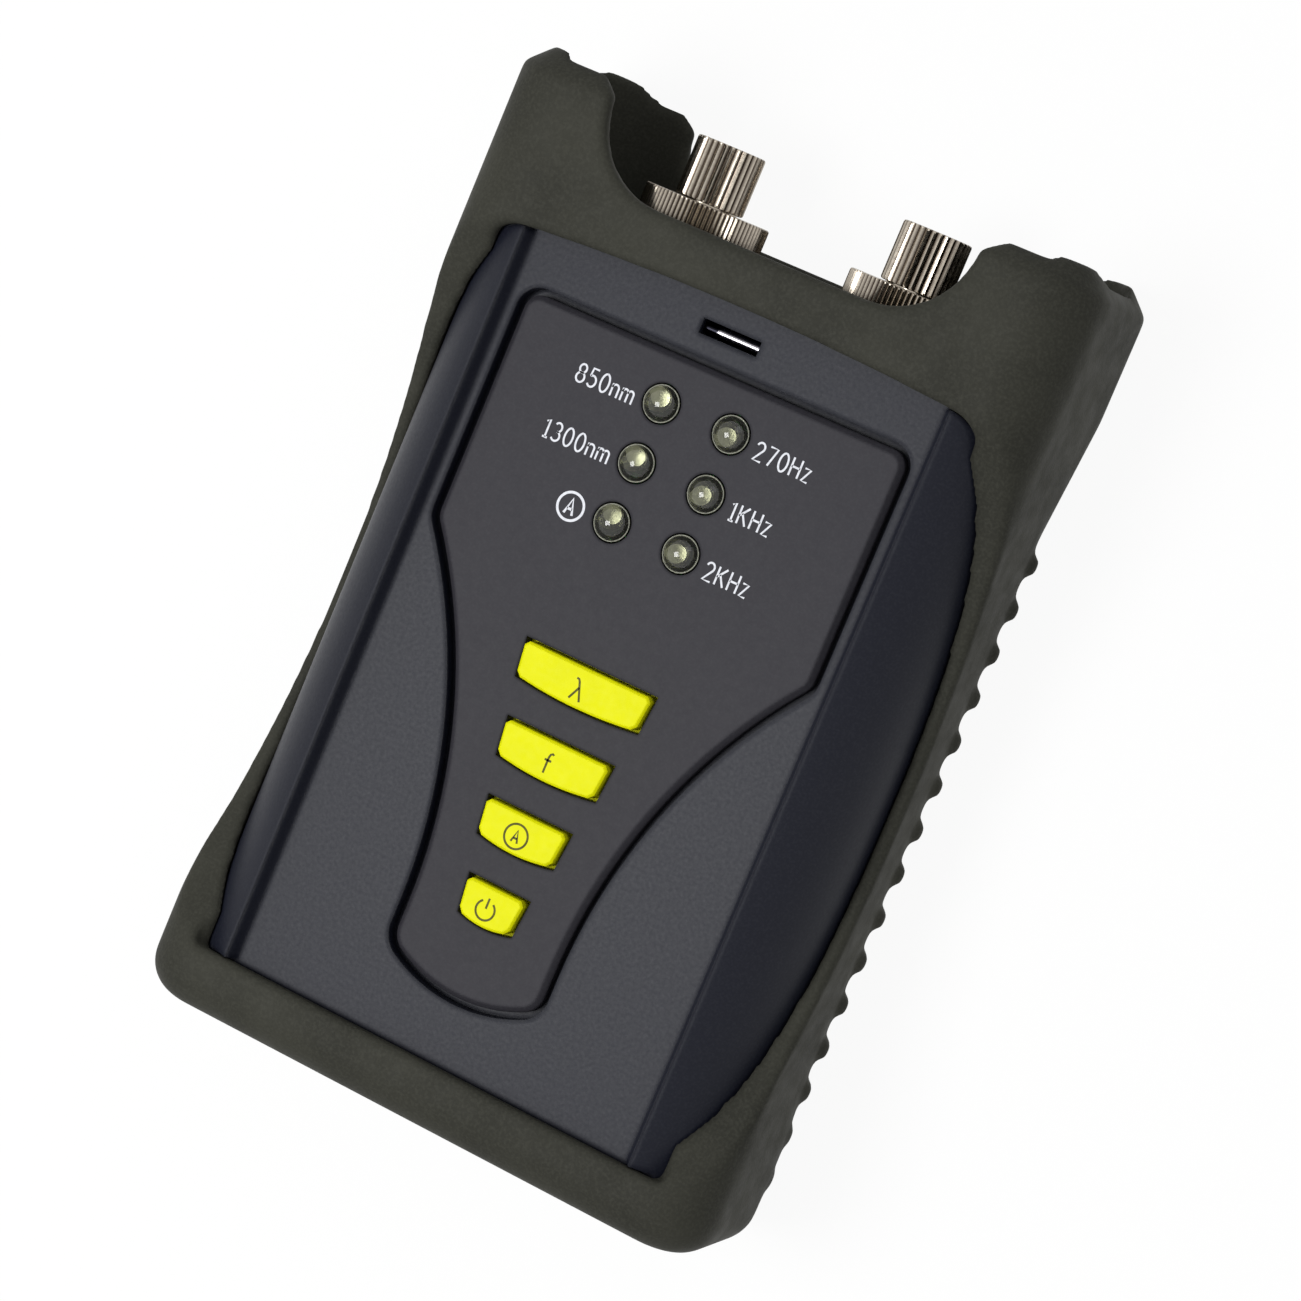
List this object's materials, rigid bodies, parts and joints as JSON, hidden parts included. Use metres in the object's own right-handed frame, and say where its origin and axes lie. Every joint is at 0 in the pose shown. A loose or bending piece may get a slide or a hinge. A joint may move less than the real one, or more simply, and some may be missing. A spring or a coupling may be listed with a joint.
{
  "type": "optical light source",
  "caption": "Handheld optical light source in a rubber boot, with capped optical ports between its horns, indicator lamps and a short column of keys.",
  "frame": {"origin": "middle of the outline of the boot's flat back, which it lies on", "axes": "+Y towards the optical ports, +Z out of the keypad, +X to the right seen from the keypad with the ports up"},
  "size_m": [0.0846, 0.1326, 0.0326],
  "materials": {
    "boot_rubber": "dark olive-grey moulded rubber, satin",
    "case_plastic": "graphite ABS with a fine moulded grain",
    "bezel_plastic": "dark grey moulded bezel, smoother than the casing",
    "key_plastic": "bright yellow keys, semi-gloss",
    "silicone": "grey silicone rubber",
    "contact_carbon": "printed carbon contact",
    "steel": "zinc-plated steel",
    "tinned_wire": "tinned wire",
    "board_laminate": "glass-epoxy laminate with green resist",
    "chip_plastic": "black component bodies",
    "cell_can": null,
    "spring_steel": "nickel-plated spring steel",
    "lamp_lens": "water-clear moulded lens",
    "plated_brass": "nickel-plated brass, knurled rims",
    "ceramic": "white zirconia ceramic, polished"
  },
  "bodies": {
    "casing": {"rubber_boot": "boot_rubber", "front_case": "case_plastic", "rear_case": "case_plastic", "keypad_bezel": "bezel_plastic", "keypad_mat": "silicone", "key_contacts": "contact_carbon", "case_screws": "steel", "lanyard_bar": "steel", "lamp_leads": "tinned_wire", "emitter_pins": "tinned_wire", "circuit_board": "board_laminate", "port_board": "board_laminate", "board_parts": "chip_plastic", "battery_left": "cell_can", "battery_right": "cell_can", "battery_springs": "spring_steel", "battery_plates": "spring_steel", "lamp_850": "lamp_lens", "lamp_1300": "lamp_lens", "lamp_auto": "lamp_lens", "lamp_270": "lamp_lens", "lamp_1k": "lamp_lens", "lamp_2k": "lamp_lens", "left_port_housing": "plated_brass", "left_emitter": "steel", "left_ferrule": "ceramic", "right_port_housing": "plated_brass", "right_emitter": "steel", "right_ferrule": "ceramic"},
    "key_wavelength_body": {"key_wavelength": "key_plastic"},
    "key_frequency_body": {"key_frequency": "key_plastic"},
    "key_auto_body": {"key_auto": "key_plastic"},
    "key_power_body": {"key_power": "key_plastic"},
    "battery_door": {"battery_cover": "case_plastic"},
    "left_port_adapter": {"left_adapter": "plated_brass", "left_sleeve": "ceramic"},
    "left_ring": {"left_coupling_ring": "plated_brass"},
    "left_seal": {"left_cap_seal": "silicone"},
    "left_cap": {"left_dust_cap": "plated_brass"},
    "right_port_adapter": {"right_adapter": "plated_brass", "right_sleeve": "ceramic"},
    "right_ring": {"right_coupling_ring": "plated_brass"},
    "right_seal": {"right_cap_seal": "silicone"},
    "right_cap": {"right_dust_cap": "plated_brass"}
  },
  "joints": [
    {"name": "wavelength_press", "type": "slide", "parent": "casing", "child": "key_wavelength_body", "axis": [0, 0, -1], "range_m": [0, 0.0008], "stiffness_N_per_m": 300},
    {"name": "frequency_press", "type": "slide", "parent": "casing", "child": "key_frequency_body", "axis": [0, 0, -1], "range_m": [0, 0.0008], "stiffness_N_per_m": 300},
    {"name": "auto_press", "type": "slide", "parent": "casing", "child": "key_auto_body", "axis": [0, 0, -1], "range_m": [0, 0.0008], "stiffness_N_per_m": 300},
    {"name": "power_press", "type": "slide", "parent": "casing", "child": "key_power_body", "axis": [0, 0, -1], "range_m": [0, 0.0008], "stiffness_N_per_m": 300},
    {"name": "door_slide", "type": "slide", "parent": "casing", "child": "battery_door", "axis": [0, -1, 0], "range_m": [0, 0.006]},
    {"name": "left_adapter_lift", "type": "slide", "parent": "casing", "child": "left_port_adapter", "axis": [0, 1, 0], "range_m": [0, 0.003]},
    {"name": "left_ring_turn", "type": "hinge", "parent": "left_port_adapter", "child": "left_ring", "pos_m": [-0.01494, 0.053, 0.015], "axis": [0, 1, 0], "range_deg": [0, 1095]},
    {"name": "left_cap_lift", "type": "slide", "parent": "left_port_adapter", "child": "left_seal", "axis": [0, 1, 0], "range_m": [0, 0.00525]},
    {"name": "left_cap_turn", "type": "hinge", "parent": "left_seal", "child": "left_cap", "pos_m": [-0.01494, 0.053, 0.015], "axis": [0, 1, 0], "range_deg": [0, 2550]},
    {"name": "right_adapter_lift", "type": "slide", "parent": "casing", "child": "right_port_adapter", "axis": [0, 1, 0], "range_m": [0, 0.003]},
    {"name": "right_ring_turn", "type": "hinge", "parent": "right_port_adapter", "child": "right_ring", "pos_m": [0.01494, 0.053, 0.015], "axis": [0, 1, 0], "range_deg": [0, 1095]},
    {"name": "right_cap_lift", "type": "slide", "parent": "right_port_adapter", "child": "right_seal", "axis": [0, 1, 0], "range_m": [0, 0.00525]},
    {"name": "right_cap_turn", "type": "hinge", "parent": "right_seal", "child": "right_cap", "pos_m": [0.01494, 0.053, 0.015], "axis": [0, 1, 0], "range_deg": [0, 2550]}
  ],
  "couplings": [
    {"joint": "left_ring_turn", "follows": "left_adapter_lift", "rad_per_m": 6283.2},
    {"joint": "left_cap_turn", "follows": "left_cap_lift", "rad_per_m": 8377.6},
    {"joint": "right_ring_turn", "follows": "right_adapter_lift", "rad_per_m": 6283.2},
    {"joint": "right_cap_turn", "follows": "right_cap_lift", "rad_per_m": 8377.6}
  ]
}
